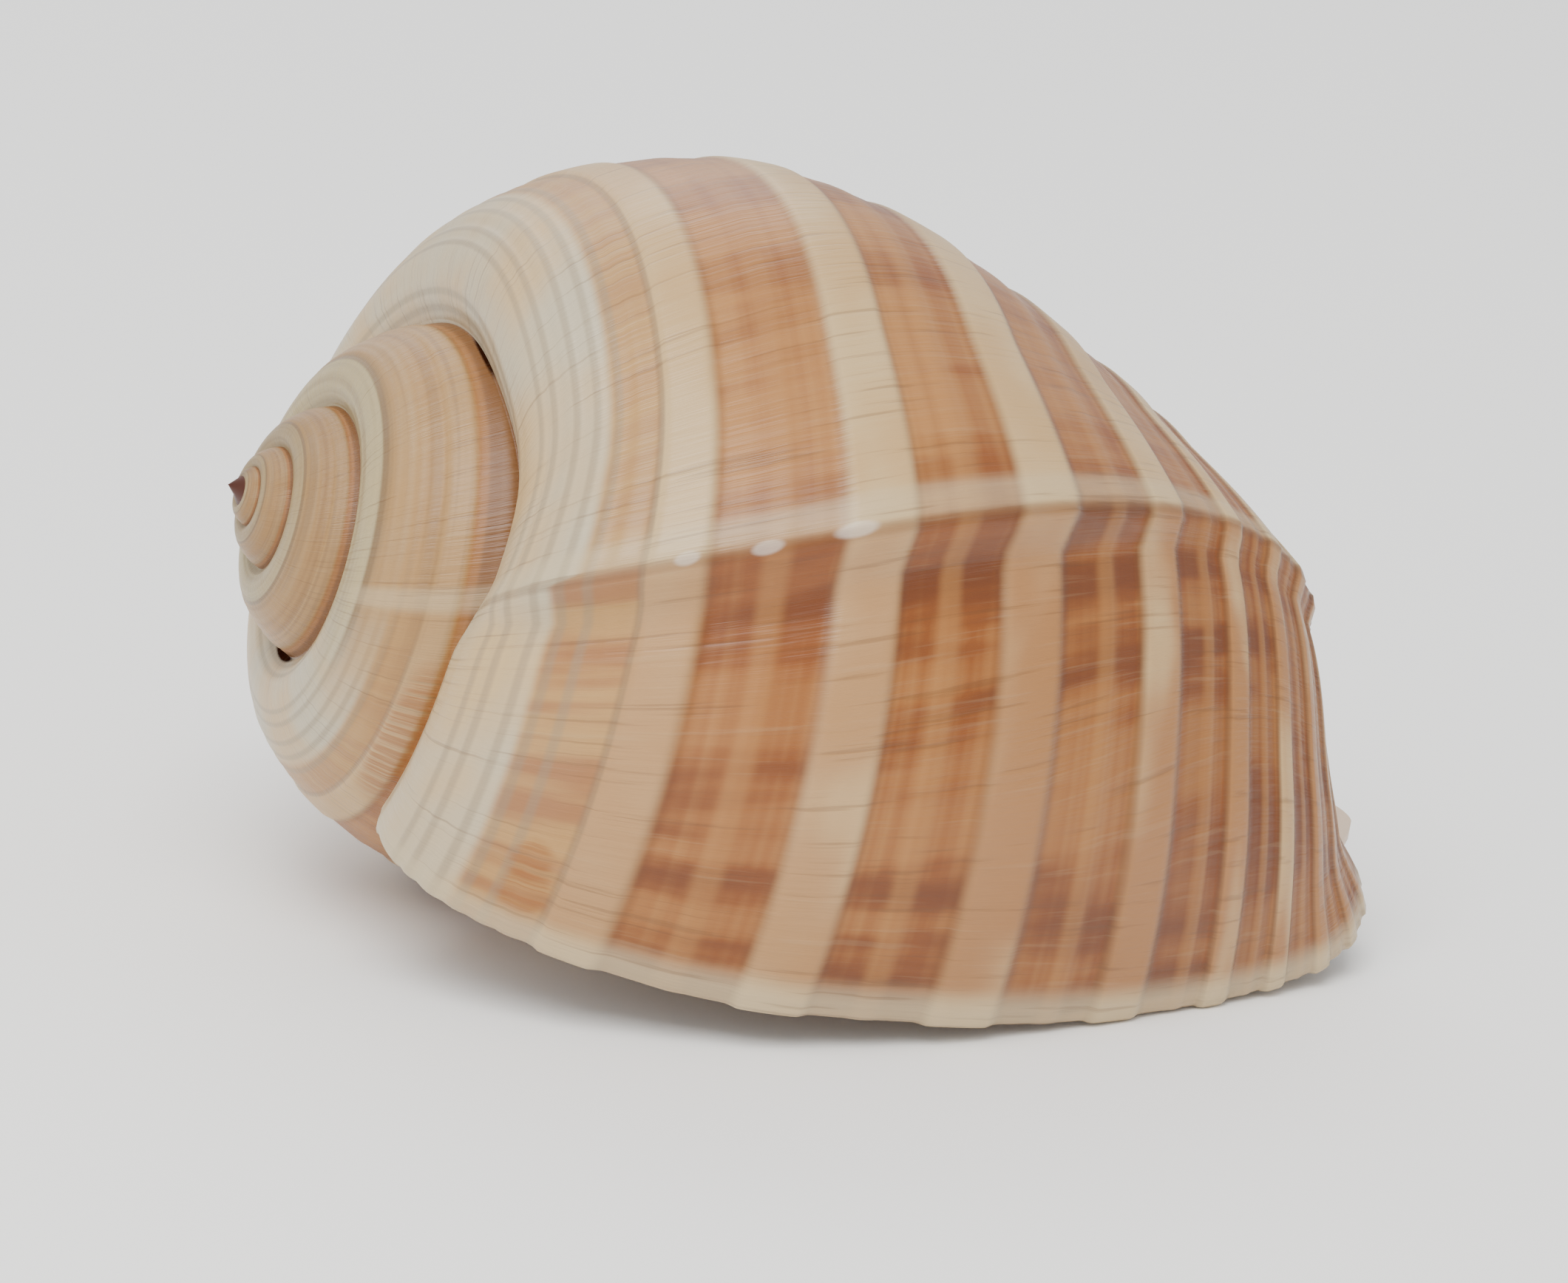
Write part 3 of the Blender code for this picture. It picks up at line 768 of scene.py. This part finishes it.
    rough = n.scaled(n.math("SUBTRACT", fine, 0.5), 0.25, settings["roughness"])
    n.put(principled.inputs["Roughness"], rough)
    height = n.math("ADD", fine, n.times(medium, 0.6))
    normal = n.relief(height, settings["bumpStrength"], settings["bumpDistance"])
    n.put(principled.inputs["Normal"], normal)
    print("wall material", len(material.node_tree.nodes), "nodes")
    return material


insideFinish = {
    "white": "E6DDD0", "warm": "CFA987", "stripe": "B98A5E", "deep": "B88E6C",
    "clouds": (18, 0.5, 2.0, 0.5), "ripples": (160, 0.6, 2.0, 0.5),  # streaks, as for the wall
    "bandEdge": (0.26, 0.38),
    "bandsBetween": (0.65, 13.0, 0.1),  # first and last band place, softness
    "deepFrom": (-0.2, -0.9),  # turns back from the mouth
    "roughness": 0.22, "bumpStrength": 0.15, "bumpDistance": 0.0005,
}


def insideMaterial(settings):
    # glossy inner side: the bands show through it softly, and it is warmer further in
    material = bpy.data.materials.new("shellInside")
    material.use_nodes = True
    n = Nodes(material.node_tree)
    principled = material.node_tree.nodes["Principled BSDF"]
    growth, phase = placeSockets(n)
    c = {key: linear(value) for key, value in settings.items() if isinstance(value, str)}
    cloud = n.place(streaks, growth, phase, *settings["clouds"])["Streaks"]
    mask = n.place(bands, phase, *settings["bandEdge"])["Mask"]
    band = n.times(mask, n.between(phase, *settings["bandsBetween"]))
    colour = n.mix(n.step(cloud, 0.3, 0.75), c["white"], c["warm"])
    colour = n.mix(n.times(band, 0.45), colour, c["stripe"])
    colour = n.mix(n.times(n.step(growth, *settings["deepFrom"]), 0.6), colour, c["deep"])
    n.put(principled.inputs["Base Color"], colour)
    principled.inputs["Roughness"].default_value = settings["roughness"]
    ripples = n.place(streaks, growth, phase, *settings["ripples"])["Streaks"]
    normal = n.relief(ripples, settings["bumpStrength"], settings["bumpDistance"])
    n.put(principled.inputs["Normal"], normal)
    print("inside material", len(material.node_tree.nodes), "nodes")
    return material


ridgePlace = shell["ridgeTurn"] / 360  # in turns back from the mouth
streaks, bands = streakGroup(), bandGroup()
tunShell = makeMesh(buildShell(), [wallMaterial(wallFinish), insideMaterial(insideFinish)])
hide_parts("tun_shell")
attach(tunShell, "root")

view = {
    "azimuth": -19.9, "elevation": 15.0, "roll": 4.6, "distance": 0.659, "lens": 159.4,
    "sensor": 36.0, "target": (-0.0100, -0.0143, 0.0318),
}


def makeCamera(settings):
    # stands at target + back times distance, looks at the target, and is then rolled
    azimuth, elevation = math.radians(settings["azimuth"]), math.radians(settings["elevation"])
    flat = math.cos(elevation)
    back = Vector((math.sin(azimuth) * flat, -math.cos(azimuth) * flat, math.sin(elevation)))
    camera = bpy.data.objects.new("camera", bpy.data.cameras.new("camera"))
    camera.data.lens = settings["lens"]
    camera.data.sensor_width = settings["sensor"]
    camera.location = Vector(settings["target"]) + back * settings["distance"]
    roll = Matrix.Rotation(math.radians(settings["roll"]), 3, "Z")
    camera.rotation_euler = (back.to_track_quat("Z", "Y").to_matrix() @ roll).to_euler()
    bpy.context.scene.collection.objects.link(camera)
    bpy.context.scene.camera = camera


ground = {"size": 3.0, "colour": (0.96, 0.96, 0.95, 1), "roughness": 0.9}


def makeStage(settings):
    # a square floor
    size = settings["size"]
    corners = [(-size, -size, 0), (size, -size, 0), (size, size, 0), (-size, size, 0)]
    mesh = bpy.data.meshes.new("floor")
    mesh.from_pydata(corners, [], [(0, 1, 2, 3)])
    material = bpy.data.materials.new("floor")
    material.use_nodes = True
    finish = material.node_tree.nodes["Principled BSDF"]
    finish.inputs["Base Color"].default_value = settings["colour"]
    finish.inputs["Roughness"].default_value = settings["roughness"]
    mesh.materials.append(material)
    floor = bpy.data.objects.new("floor", mesh)
    bpy.context.scene.collection.objects.link(floor)


lights = {
    "key": {"power": 17.0, "size": 0.9, "place": (-0.35, -0.55, 1.05), "colour": (1.0, 0.98, 0.95)},
    "fill": {"power": 4.5, "size": 1.2, "place": (-0.9, -1.0, 0.5), "colour": (0.96, 0.98, 1.0)},
    "rim": {"power": 4.0, "size": 0.8, "place": (0.1, 0.9, 0.8), "colour": (1.0, 1.0, 1.0)},
}
sky = {"colour": (0.93, 0.94, 0.95, 1), "strength": 0.95}
aim = (0, 0, 0.03)  # the lamps look here


def makeLights(settings):
    # each lamp's back points from the aim to its place
    for name, values in settings.items():
        lamp = bpy.data.lights.new(name, "AREA")
        lamp.energy = values["power"]
        lamp.size = values["size"]
        lamp.color = values["colour"]
        holder = bpy.data.objects.new(name, lamp)
        holder.location = values["place"]
        back = Vector(values["place"]) - Vector(aim)
        holder.rotation_euler = back.to_track_quat("Z", "Y").to_euler()
        bpy.context.scene.collection.objects.link(holder)
    world = bpy.data.worlds.new("studio")
    world.use_nodes = True
    background = world.node_tree.nodes["Background"]
    background.inputs["Color"].default_value = sky["colour"]
    background.inputs["Strength"].default_value = sky["strength"]
    bpy.context.scene.world = world


makeCamera(view)
makeStage(ground)
makeLights(lights)
print("camera, stage and lights")
